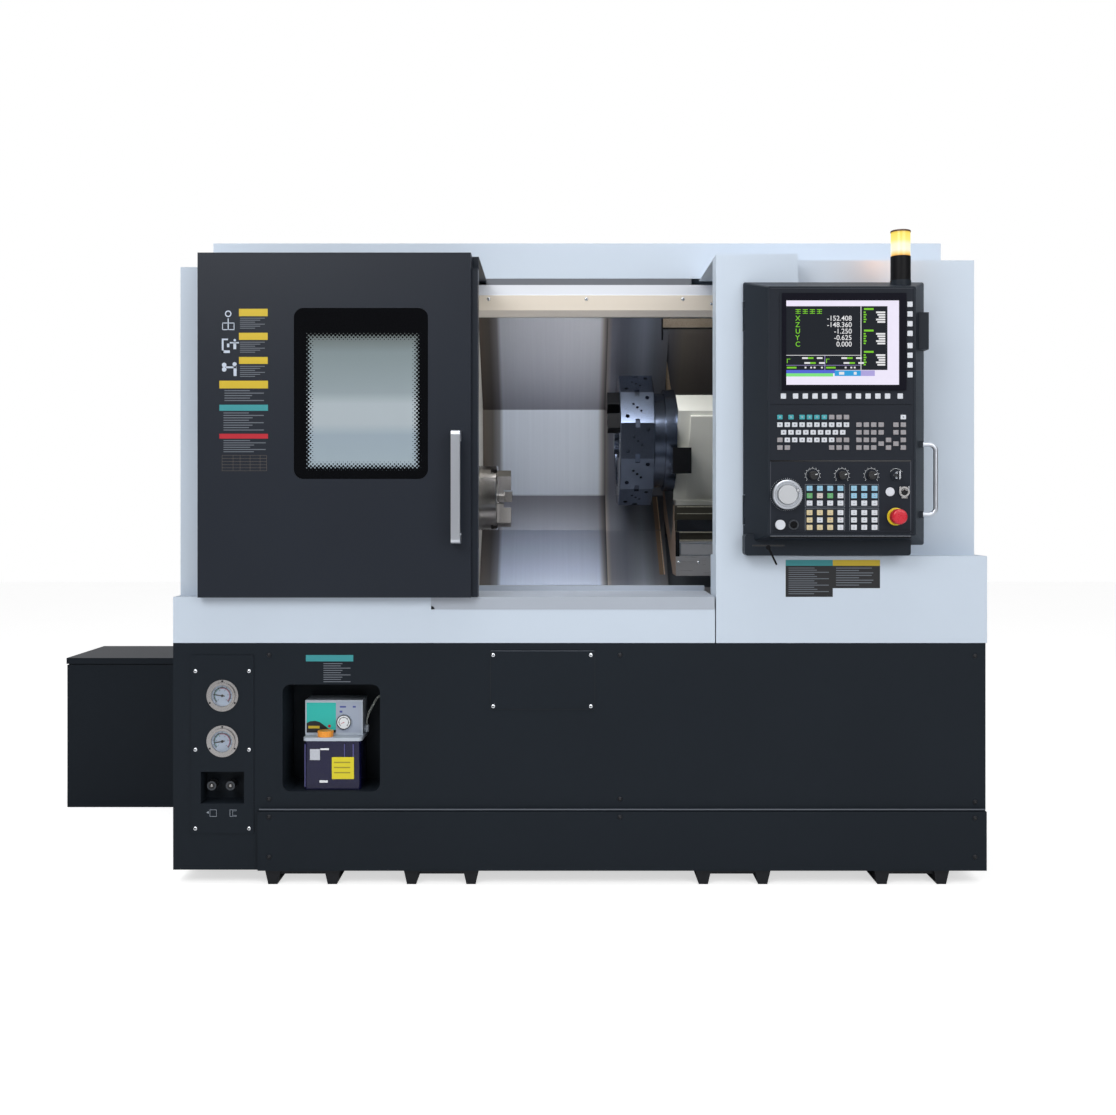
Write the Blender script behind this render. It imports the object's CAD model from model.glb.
import bmesh
import bpy
import math
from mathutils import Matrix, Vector


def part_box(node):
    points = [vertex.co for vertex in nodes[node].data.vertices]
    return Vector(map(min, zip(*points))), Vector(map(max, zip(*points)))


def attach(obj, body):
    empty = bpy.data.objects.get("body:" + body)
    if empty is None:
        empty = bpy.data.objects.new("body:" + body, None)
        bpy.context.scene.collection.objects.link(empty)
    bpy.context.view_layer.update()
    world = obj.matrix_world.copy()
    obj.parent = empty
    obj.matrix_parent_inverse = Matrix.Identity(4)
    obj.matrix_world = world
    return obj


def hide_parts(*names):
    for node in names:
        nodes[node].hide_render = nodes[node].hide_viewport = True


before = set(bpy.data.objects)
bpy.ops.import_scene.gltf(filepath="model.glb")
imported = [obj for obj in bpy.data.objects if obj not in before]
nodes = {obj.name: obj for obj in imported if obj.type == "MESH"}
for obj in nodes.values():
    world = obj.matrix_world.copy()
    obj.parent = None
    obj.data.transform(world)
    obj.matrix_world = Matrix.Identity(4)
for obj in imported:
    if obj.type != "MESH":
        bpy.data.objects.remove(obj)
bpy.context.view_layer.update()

# The photograph: where its camera stood and how one of its pixels is placed on a plane facing it
EYE_X = 0.254
EYE_Z = 1.044
EYE_DISTANCE = 3.4
FRONT_Y = -0.7415
PIXEL = 0.00272
CENTRE_PX = 558
HORIZON_PY = 501


def at(px, py, y):
    """The (x, z) of a photo pixel on a surface that stands at y."""
    size = PIXEL * (EYE_DISTANCE + y - FRONT_Y) / EYE_DISTANCE
    return EYE_X + (px - CENTRE_PX) * size, EYE_Z + (HORIZON_PY - py) * size


def photo_box(pixels, y):
    """The x and z limits, on a surface at y, of a field given as left, right, top, bottom pixels."""
    left, right, top, bottom = pixels
    x0, z1 = at(left, top, y)
    x1, z0 = at(right, bottom, y)
    return x0, x1, z0, z1


def around(x, z, radius, angle):
    """The point at an angle in degrees on a circle, counted anticlockwise from the right."""
    a = math.radians(angle)
    return x + radius * math.cos(a), z + radius * math.sin(a)


# Tools for the materials


def linear(r, g, b):
    """A colour given as it looks on a screen, 0 to 255, as Blender's linear values."""
    out = []
    for v in (r, g, b):
        v = v / 255
        out.append(v / 12.92 if v <= 0.04045 else ((v + 0.055) / 1.055) ** 2.4)
    return (*out, 1.0)


def shade(colour, factor):
    return (*(min(1.0, c * factor) for c in colour[:3]), 1.0)


# The scene's own materials by name; the CAD brings some of the same names with it
LOOKS = {}


def new_material(name):
    material = bpy.data.materials.new(name)
    LOOKS[name] = material
    material.use_nodes = True
    tree = material.node_tree
    return tree, tree.nodes["Principled BSDF"]


def set_inputs(node, values):
    for socket, value in values.items():
        node.inputs[socket].default_value = value


def noise(tree, scale, detail=3.0, stretch=(1, 1, 1)):
    """A noise texture in the part's own coordinates, stretched along an axis where asked."""
    place = tree.nodes.new("ShaderNodeTexCoord")
    mapping = tree.nodes.new("ShaderNodeMapping")
    mapping.inputs["Scale"].default_value = stretch
    texture = tree.nodes.new("ShaderNodeTexNoise")
    set_inputs(texture, {"Scale": scale, "Detail": detail})
    tree.links.new(place.outputs["Object"], mapping.inputs["Vector"])
    tree.links.new(mapping.outputs["Vector"], texture.inputs["Vector"])
    return texture.outputs["Fac"]


def axes(tree):
    """The place of a point in the part's own coordinates, one output for each axis."""
    place = tree.nodes.new("ShaderNodeTexCoord")
    split = tree.nodes.new("ShaderNodeSeparateXYZ")
    tree.links.new(place.outputs["Object"], split.inputs["Vector"])
    return split.outputs


def spread(tree, value, low, high, from_low=0.3, from_high=0.7):
    """Carry a texture's value from its usual range to a wanted range."""
    node = tree.nodes.new("ShaderNodeMapRange")
    set_inputs(
        node, {"From Min": from_low, "From Max": from_high, "To Min": low, "To Max": high}
    )
    tree.links.new(value, node.inputs["Value"])
    return node.outputs["Result"]


def two_tone(tree, value, dark, light):
    ramp = tree.nodes.new("ShaderNodeValToRGB")
    for element, position, colour in zip(ramp.color_ramp.elements, (0.3, 0.7), (dark, light)):
        element.position = position
        element.color = colour
    tree.links.new(value, ramp.inputs["Fac"])
    return ramp.outputs["Color"]


def tone_ramp(tree, value, stops):
    """Tones by place, given as (place, screen colour) stops."""
    first, last = stops[0][0], stops[-1][0]
    ramp = tree.nodes.new("ShaderNodeValToRGB")
    elements = ramp.color_ramp.elements
    elements[0].color = linear(*stops[0][1])
    elements[1].color = linear(*stops[-1][1])
    for where, tone in stops[1:-1]:
        elements.new((where - first) / (last - first)).color = linear(*tone)
    tree.links.new(spread(tree, value, 0.0, 1.0, first, last), ramp.inputs["Fac"])
    return ramp.outputs["Color"]


def multiplied(tree, first, second):
    blend = tree.nodes.new("ShaderNodeMix")
    blend.data_type = "RGBA"
    blend.blend_type = "MULTIPLY"
    blend.inputs["Factor"].default_value = 1.0
    tree.links.new(first, blend.inputs["A"])
    tree.links.new(second, blend.inputs["B"])
    return blend.outputs["Result"]


def bump(tree, value, principled, height):
    node = tree.nodes.new("ShaderNodeBump")
    node.inputs["Distance"].default_value = height
    tree.links.new(value, node.inputs["Height"])
    tree.links.new(node.outputs["Normal"], principled.inputs["Normal"])


def surface(
    name, colour, rough=0.45, metal=0.0, vary=0.05, grain=350.0, relief=0.00002,
    stretch=(1, 1, 1), wear=0.05, coat=0.0, specular=0.5, cloud=3.0,
):
    """A painted, moulded or machined surface: faint clouding in colour, grain in gloss and relief."""
    tree, principled = new_material(name)
    colour = linear(*colour)
    clouds = noise(tree, cloud, 4.0)
    tone = two_tone(tree, clouds, shade(colour, 1 - vary), shade(colour, 1 + vary))
    tree.links.new(tone, principled.inputs["Base Color"])
    fine = noise(tree, grain, 2.0, stretch)
    tree.links.new(spread(tree, fine, rough - wear, rough + wear), principled.inputs["Roughness"])
    bump(tree, fine, principled, relief)
    set_inputs(principled, {"Metallic": metal, "Specular IOR Level": specular})
    if coat > 0:
        set_inputs(principled, {"Coat Weight": coat, "Coat Roughness": 0.15})


def mirrored_bands(name, across, along, rough):
    """Brushed sheet that mirrors the room unevenly: tones by place along X and up Z."""
    tree, principled = new_material(name)
    place = axes(tree)
    bands = multiplied(
        tree, tone_ramp(tree, place["X"], across), tone_ramp(tree, place["Z"], along)
    )
    lines = noise(tree, 40.0, 2.0, (3, 0.1, 0.03))
    streaks = two_tone(tree, lines, (0.95, 0.95, 0.955, 1.0), (1.0, 1.0, 1.0, 1.0))
    tree.links.new(multiplied(tree, bands, streaks), principled.inputs["Base Color"])
    gloss = spread(tree, noise(tree, 5.0), rough - 0.01, rough + 0.01, 0.0, 1.0)
    tree.links.new(gloss, principled.inputs["Roughness"])
    principled.inputs["Metallic"].default_value = 0.45


def lit(name, colour):
    """A part of a lit display: it shows its own colour and hardly mirrors the room."""
    tree, principled = new_material(name)
    colour = linear(*colour)
    tone = two_tone(tree, noise(tree, 60.0), shade(colour, 0.97), shade(colour, 1.0))
    tree.links.new(tone, principled.inputs["Emission Color"])
    set_inputs(principled, {
        "Base Color": (0.004, 0.004, 0.005, 1.0), "Emission Strength": 1.0, "Roughness": 0.4,
        "Specular IOR Level": 0.04,
    })


def lamp_glass(name, stops):
    """A lit lens whose light changes with height, given as (z, colour) stops."""
    tree, principled = new_material(name)
    tree.links.new(tone_ramp(tree, axes(tree)["Z"], stops), principled.inputs["Emission Color"])
    set_inputs(principled, {
        "Base Color": (0.02, 0.012, 0.004, 1.0), "Emission Strength": 1.0, "Roughness": 0.2,
    })


def clear_plastic(name, colour, rough, transmission=1.0):
    """Glass or clear plastic with a faint unevenness in its gloss."""
    tree, principled = new_material(name)
    colour = linear(*colour)
    tone = two_tone(tree, noise(tree, 6.0), shade(colour, 0.95), shade(colour, 1.05))
    tree.links.new(tone, principled.inputs["Base Color"])
    fine = noise(tree, 40.0, 3.0)
    tree.links.new(spread(tree, fine, rough * 0.7, rough * 1.3), principled.inputs["Roughness"])
    set_inputs(principled, {"Transmission Weight": transmission, "IOR": 1.45})


def window_glass(name, low, high, tones):
    """Tinted glass with a black border printed on it that breaks up into dots towards the middle."""
    tree, principled = new_material(name)
    links = tree.links
    place = axes(tree)

    def calculate(operation, *values):
        node = tree.nodes.new("ShaderNodeMath")
        node.operation = operation
        for socket, value in zip(node.inputs, values):
            if isinstance(value, (int, float)):
                socket.default_value = value
            else:
                links.new(value, socket)
        return node.outputs["Value"]

    def edge_distance(axis, start, end):
        from_start = calculate("SUBTRACT", place[axis], start)
        return calculate("MINIMUM", from_start, calculate("SUBTRACT", end, place[axis]))

    inside = calculate(
        "MINIMUM", edge_distance("X", low[0], high[0]), edge_distance("Z", low[1], high[1])
    )
    dots = tree.nodes.new("ShaderNodeTexVoronoi")
    dots.voronoi_dimensions = "2D"
    set_inputs(dots, {"Scale": 1.0 / DOT_CELL, "Randomness": 0.0})
    slanted = tree.nodes.new("ShaderNodeCombineXYZ")
    links.new(calculate("ADD", place["X"], place["Z"]), slanted.inputs["X"])
    links.new(calculate("SUBTRACT", place["X"], place["Z"]), slanted.inputs["Y"])
    links.new(slanted.outputs["Vector"], dots.inputs["Vector"])
    reach = spread(tree, inside, 0.82, 0.0, 0.0, DOT_RING)
    printed = calculate("LESS_THAN", dots.outputs["Distance"], reach)
    stops = [(low[1] + share * (high[1] - low[1]), tone) for share, tone in tones]
    mix = tree.nodes.new("ShaderNodeMix")
    mix.data_type = "RGBA"
    mix.inputs["B"].default_value = linear(10, 11, 14)
    links.new(printed, mix.inputs["Factor"])
    links.new(tone_ramp(tree, place["Z"], stops), mix.inputs["A"])
    links.new(mix.outputs["Result"], principled.inputs["Base Color"])
    clear = calculate("MULTIPLY", calculate("SUBTRACT", 1.0, printed), CLEARNESS)
    links.new(clear, principled.inputs["Transmission Weight"])
    set_inputs(principled, {"Roughness": 0.04, "IOR": 1.45})


# Paints
surface("white_paint", (200, 212, 226), 0.42, vary=0.015, relief=0.00001, specular=0.25)
surface("warm_paint", (222, 218, 208), 0.42, vary=0.025)
surface("beam_white", (226, 230, 238), 0.4, vary=0.02, grain=500.0)
surface("beam_cream", (226, 216, 202), 0.4, vary=0.02, grain=500.0)
surface("beam_grey", (220, 212, 204), 0.4, vary=0.03, grain=500.0)
surface("slot_grey", (104, 108, 116), 0.5, vary=0.04, grain=500.0)
surface("housing_paint", (222, 222, 214), 0.36, vary=0.03, grain=500.0, relief=0.000004)
GRAINED = {"vary": 0.04, "relief": 0.00003}
surface("charcoal_paint", (28, 34, 41), 0.5, grain=700.0, specular=0.12, **GRAINED)
surface("door_paint", (35, 40, 49), 0.38, grain=700.0, specular=0.22, **GRAINED)
surface("pendant_paint", (33, 39, 47), 0.45, grain=900.0, specular=0.15, **GRAINED)
surface("tank_top_paint", (78, 80, 84), 0.5, grain=700.0, specular=0.2, **GRAINED)
surface("face_paint", (35, 39, 47), 0.5, vary=0.04, grain=1100.0, relief=0.00001, specular=0.12)
surface("bezel_navy", (12, 12, 24), 0.5, vary=0.05, specular=0.08)
surface("lamp_black", (14, 14, 17), 0.45, vary=0.06, specular=0.15)

# Metals: ground, brushed along the sheet, and plain
GROUND = {"grain": 600.0, "wear": 0.03, "relief": 0.000001}
surface("ground_steel", (196, 200, 206), 0.22, 1.0, vary=0.03, **GROUND)
surface("turret_steel", (84, 92, 108), 0.24, 0.97, vary=0.04, **GROUND)
surface("chuck_steel", (146, 144, 143), 0.2, 1.0, vary=0.03, **GROUND)
ACROSS_SHEET = {"grain": 240.0, "stretch": (0.05, 1, 2)}
surface("sheet_steel", (190, 190, 192), 0.3, 0.7, 0.04, wear=0.03, relief=0.000001, **ACROSS_SHEET)
surface("step_steel", (62, 60, 52), 0.36, 0.7, 0.12, wear=0.08, relief=0.000004, **ACROSS_SHEET)
ALONG_SHEET = {"grain": 240.0, "stretch": (0.06, 1, 3)}
surface("brushed_steel", (176, 181, 188), 0.34, 1.0, 0.04, wear=0.06, relief=0.000004, **ALONG_SHEET)
surface("sill_steel", (178, 186, 198), 0.4, 0.25, 0.03, relief=0.000003, **ALONG_SHEET)
surface("bezel_steel", (172, 170, 170), 0.26, 0.85, 0.02, grain=900.0, wear=0.01, relief=0.0000002)
surface("polished_steel", (214, 218, 224), 0.14, 1.0, vary=0.03, wear=0.04)
surface("satin_grip", (206, 211, 220), 0.32, 0.8, vary=0.02, wear=0.03, relief=0.000001)
surface("wheel_silver", (204, 207, 212), 0.34, 0.6, vary=0.03, grain=700.0, relief=0.000001)
surface("dark_steel", (46, 50, 58), 0.36, 0.7, vary=0.1, grain=300.0)
surface("black_oxide", (30, 32, 37), 0.4, 0.5, vary=0.1, grain=500.0)
surface("tool_black", (11, 12, 15), 0.5, vary=0.1, grain=500.0, specular=0.1, relief=0.000002)
surface("cast_iron", (96, 102, 110), 0.6, vary=0.1, grain=220.0, relief=0.0002)
surface("header_brown", (158, 144, 128), 0.3, 0.3, vary=0.12, cloud=14.0)
for name, colour, rough, metal, vary in (
    ("knob_ring", (70, 74, 80), 0.3, 0.6, 0.05), ("frame_silver", (118, 122, 130), 0.3, 0.6, 0.04),
    ("frame_dim", (66, 70, 80), 0.4, 0.3, 0.04), ("strip_brown", (148, 126, 108), 0.34, 0.3, 0.08),
    ("edge_glint", (142, 138, 124), 0.3, 0.4, 0.06),
    ("copper_glint", (232, 208, 180), 0.3, 0.3, 0.06),
):
    surface(name, colour, rough, metal, vary)

# Plastics and rubber
surface("black_gloss", (14, 15, 18), 0.16, vary=0.05, wear=0.03)
surface("red_plastic", (198, 20, 44), 0.3, vary=0.04, coat=0.3)
surface("orange_plastic", (244, 160, 52), 0.35, vary=0.05, coat=0.2)
surface("belt_rubber", (26, 27, 29), 0.7, vary=0.1, grain=600.0)
for name, colour, rough, vary, grain in (
    ("black_plastic", (24, 25, 28), 0.45, 0.08, 900.0),
    ("white_plastic", (208, 212, 220), 0.4, 0.02, 900.0),
    ("grey_plastic", (150, 146, 150), 0.45, 0.04, 900.0),
    ("teal_plastic", (52, 158, 168), 0.42, 0.04, 900.0),
    ("unit_plastic", (184, 194, 206), 0.42, 0.03, 700.0),
    ("unit_front", (166, 176, 194), 0.42, 0.03, 700.0),
    ("light_blue_plastic", (142, 192, 218), 0.42, 0.03, 350.0),
    ("green_plastic", (92, 164, 104), 0.42, 0.03, 350.0),
    ("pink_plastic", (206, 196, 190), 0.42, 0.03, 350.0),
    ("beige_plastic", (208, 192, 152), 0.42, 0.03, 350.0),
    ("yellow_plastic", (230, 206, 44), 0.35, 0.04, 350.0),
):
    surface(name, colour, rough, vary=vary, grain=grain)

# Printed colours
surface("square_grey", (190, 194, 204), 0.4, vary=0.08, cloud=160.0)
for name, colour, rough, vary in (
    ("print_yellow", (204, 176, 36), 0.4, 0.02), ("print_teal", (52, 144, 150), 0.4, 0.02),
    ("print_red", (182, 24, 42), 0.4, 0.02), ("panel_teal", (40, 190, 180), 0.4, 0.02),
    ("print_white", (232, 236, 240), 0.4, 0.02), ("print_lemon", (222, 208, 34), 0.4, 0.02),
    ("dial_blue", (206, 220, 240), 0.4, 0.03), ("print_mauve", (190, 130, 160), 0.4, 0.03),
    ("print_pale_teal", (120, 170, 180), 0.4, 0.03), ("print_black", (22, 24, 28), 0.4, 0.03),
    ("print_grey", (150, 158, 168), 0.45, 0.03), ("figure_white", (190, 200, 216), 0.45, 0.03),
    ("lemon_dim", (164, 152, 40), 0.45, 0.02), ("key_mark", (138, 140, 148), 0.5, 0.03),
    ("text_grey", (98, 104, 114), 0.5, 0.03), ("text_light", (150, 158, 170), 0.5, 0.03),
    ("print_navy", (64, 76, 150), 0.5, 0.03), ("table_brown", (104, 94, 86), 0.5, 0.05),
    ("tank_gleam", (70, 70, 122), 0.2, 0.05), ("lamp_cap", (84, 58, 44), 0.4, 0.05),
    ("edge_tone", (84, 90, 100), 0.45, 0.04), ("seam_tone", (14, 16, 20), 0.6, 0.05),
):
    surface(name, colour, rough, vary=vary)

# Lit colours of the screen
for name, colour in (
    ("screen_white", (240, 234, 252)), ("screen_lavender", (176, 166, 222)),
    ("screen_text", (232, 232, 234)), ("screen_green", (126, 206, 48)),
    ("screen_blue", (86, 106, 214)), ("screen_lime", (128, 226, 128)),
    ("screen_cyan", (52, 160, 220)), ("screen_dark", (30, 34, 40)),
):
    lit(name, colour)

# The fixed liner mirrors the bright hall in front; its left end and the sliding one mirror the dark
LINER_ACROSS = (
    (-0.024, (120, 106, 92)), (0.012, (104, 96, 88)), (0.038, (150, 146, 144)),
    (0.052, (240, 242, 246)), (0.25, (250, 250, 252)), (0.402, (255, 255, 255)),
    (0.416, (196, 186, 176)), (0.43, (96, 92, 90)),
)
LINER_UP = (
    (0.745, (206, 218, 240)), (0.80, (190, 201, 224)), (0.937, (128, 134, 148)),
    (0.9385, (122, 126, 138)), (1.0655, (98, 99, 108)), (1.0665, (218, 227, 240)),
    (1.38, (212, 220, 232)), (1.3815, (148, 149, 158)), (1.50, (162, 164, 172)),
    (1.69, (178, 180, 186)),
)
SLIDING_ACROSS = (
    (0.40, (220, 202, 180)), (0.43, (178, 168, 158)), (0.446, (138, 140, 150)),
    (0.50, (138, 143, 155)), (0.56, (176, 183, 195)), (0.60, (142, 147, 156)),
    (0.66, (136, 134, 135)), (0.70, (156, 146, 134)), (0.78, (142, 133, 125)),
    (1.006, (112, 106, 102)),
)
SLIDING_UP = (
    (0.742, (255, 255, 255)), (0.90, (240, 242, 246)), (1.066, (190, 192, 198)),
    (1.38, (196, 197, 202)), (1.694, (178, 179, 184)),
)
mirrored_bands("liner_steel", LINER_ACROSS, LINER_UP, 0.3)
mirrored_bands("sliding_steel", SLIDING_ACROSS, SLIDING_UP, 0.28)

# Clear parts: tank, tube, gauge covers, lamp and window
clear_plastic("navy_tank", (20, 20, 62), 0.14, 0.2)
clear_plastic("tube_plastic", (226, 232, 226), 0.1, 0.75)
clear_plastic("gauge_glass", (250, 252, 252), 0.02)
LENS_UP = (
    (1.697, (246, 176, 74)), (1.703, (255, 226, 150)), (1.712, (255, 250, 226)),
    (1.728, (255, 252, 214)), (1.738, (255, 244, 140)), (1.756, (252, 232, 108)),
    (1.761, (236, 196, 84)),
)
lamp_glass("amber_lens", LENS_UP)

# The window's clear middle, its dotted border, and its tone from the lower edge to the upper one
CLEAR_LOW = (-0.434, 1.121)
CLEAR_HIGH = (-0.110, 1.506)
CLEARNESS = 0.25
DOT_RING = 0.034
DOT_CELL = 0.011
GLASS_UP = (
    (0.0, (176, 192, 202)), (0.26, (170, 186, 198)), (0.34, (192, 203, 210)),
    (0.48, (192, 203, 210)), (0.56, (164, 178, 184)), (0.84, (146, 160, 164)),
    (1.0, (104, 110, 108)),
)
window_glass("door_glass", CLEAR_LOW, CLEAR_HIGH, GLASS_UP)

# Which CAD nodes wear each material
CAD_LOOKS = {
    "charcoal_paint": (
        "base_tub", "base_front_panel", "access_cover", "gauge_plate", "side_tank",
    ),
    "white_paint": (
        "lower_front_panel", "right_lower_block", "front_column", "left_fixed_panel",
        "rear_housing",
    ),
    "warm_paint": ("top_beam", "left_inner_wall"),
    "sheet_steel": ("chip_trough",),
    "sill_steel": ("door_sill",),
    "liner_steel": ("fixed_liner",),
    "sliding_steel": ("moving_liner",),
    "black_oxide": ("machine_feet", "spindle_motor"),
    "cast_iron": ("bed_casting", "headstock_casting", "motor_pulley"),
    "ground_steel": ("spindle_bearings", "guide_rails", "spindle_shaft"),
    "belt_rubber": ("drive_belt",),
    "unit_plastic": ("lubricator_body",),
    "navy_tank": ("lubricator_tank",),
    "tube_plastic": ("lube_tube",),
    "orange_plastic": ("lubricator_cap",),
    "bezel_steel": ("gauge_cases",),
    "print_black": ("chuck_pressure_needle", "coolant_pressure_needle"),
    "door_paint": ("door_panel",),
    "door_glass": ("door_window",),
    "satin_grip": ("door_handle", "pendant_grip", "handwheel"),
    "chuck_steel": ("chuck_body", "jaw_1", "jaw_2", "jaw_3"),
    "brushed_steel": ("carriage",),
    "housing_paint": ("turret_housing",),
    "turret_steel": ("turret_disc",),
    "tool_black": ("tool_blocks",),
    "black_plastic": (
        "chuck_pressure_knob", "coolant_pressure_knob", "override_knob_1", "override_knob_2",
        "override_knob_3",
    ),
    "pendant_paint": ("pendant_shell",),
    "face_paint": ("pendant_face",),
    "black_gloss": ("pendant_screen",),
    "white_plastic": ("keys", "panel_buttons", "start_button"),
    "lamp_black": ("stack_light_body",),
    "amber_lens": ("stack_light_lens",),
    "polished_steel": ("key_switch",),
    "red_plastic": ("estop_button",),
}
for look, wearers in CAD_LOOKS.items():
    for node_name in wearers:
        materials = nodes[node_name].data.materials
        materials.clear()
        materials.append(LOOKS[look])


def paint_where(node_name, look, chosen):
    """Give the faces of a node that are chosen by their middle and their direction another look."""
    part = nodes[node_name]
    part.data.materials.append(LOOKS[look])
    number = len(part.data.materials) - 1
    turn = part.matrix_world.to_3x3()
    for polygon in part.data.polygons:
        if chosen(part.matrix_world @ polygon.center, turn @ polygon.normal):
            polygon.material_index = number


# Turret housing: its flange, the coolant block on its side and the slide under it
FLANGE_END = 0.6575
COOLANT_END, COOLANT_LOW, COOLANT_HIGH, COOLANT_BACK = 0.6985, 1.1355, 1.2225, 0.075
SLIDE_TOP, SLIDE_LEFT = 1.02, 0.66
paint_where("turret_housing", "turret_steel", lambda c, n: c.x < FLANGE_END)
paint_where(
    "turret_housing", "tool_black",
    lambda c, n: c.x < COOLANT_END and COOLANT_LOW < c.z < COOLANT_HIGH and c.y < COOLANT_BACK
    and (n.x > 0.9 or n.y < -0.9 or abs(n.z) > 0.9),
)
paint_where("turret_housing", "dark_steel", lambda c, n: c.z < SLIDE_TOP and c.x > SLIDE_LEFT)

# The stepped cover under the cross slide: dark steps, a sheet at the bottom, a brown left side
STEPS_LOW, STEPS_BACK, COVER_FRONT = 0.909, 0.175, 0.075
paint_where("carriage", "step_steel", lambda c, n: c.y < STEPS_BACK and c.z > STEPS_LOW)
paint_where(
    "carriage", "sheet_steel", lambda c, n: c.y < COVER_FRONT and c.z < STEPS_LOW and n.y < -0.5
)
paint_where("carriage", "strip_brown", lambda c, n: n.x < -0.9)

BEAM_STEP, BEAM_LIP = 1.6685, 1.6242
paint_where("top_beam", "beam_cream", lambda c, n: BEAM_LIP < c.z < BEAM_STEP)
paint_where("top_beam", "beam_grey", lambda c, n: c.z <= BEAM_LIP)
paint_where("top_beam", "beam_white", lambda c, n: c.z >= BEAM_STEP)

LENS_TOP = 1.7605
COLUMN_FACE_Y = FRONT_Y - 0.0005
paint_where("stack_light_lens", "lamp_cap", lambda c, n: c.z > LENS_TOP)
paint_where("front_column", "pendant_paint", lambda c, n: c.y < COLUMN_FACE_Y)
paint_where("side_tank", "tank_top_paint", lambda c, n: n.z > 0.7)


# Builders for the scene's own pieces, with the lift of one layer of print off its surface
PRINT = 0.0002


def circle(x, z, radius, sides=32):
    return [around(x, z, radius, 360 * n / sides) for n in range(sides)]


def rounded(x0, x1, z0, z1, radius=0.0, steps=4):
    if radius <= 0:
        return [(x0, z0), (x1, z0), (x1, z1), (x0, z1)]
    points = []
    for cx, cz, first in (
        (x1 - radius, z0 + radius, -90), (x1 - radius, z1 - radius, 0),
        (x0 + radius, z1 - radius, 90), (x0 + radius, z0 + radius, 180),
    ):
        points += [around(cx, cz, radius, first + 90 * n / steps) for n in range(steps + 1)]
    return points


def anticlockwise(outline):
    area = sum(a[0] * b[1] - b[0] * a[1] for a, b in zip(outline, outline[1:] + outline[:1]))
    return outline if area > 0 else outline[::-1]


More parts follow.
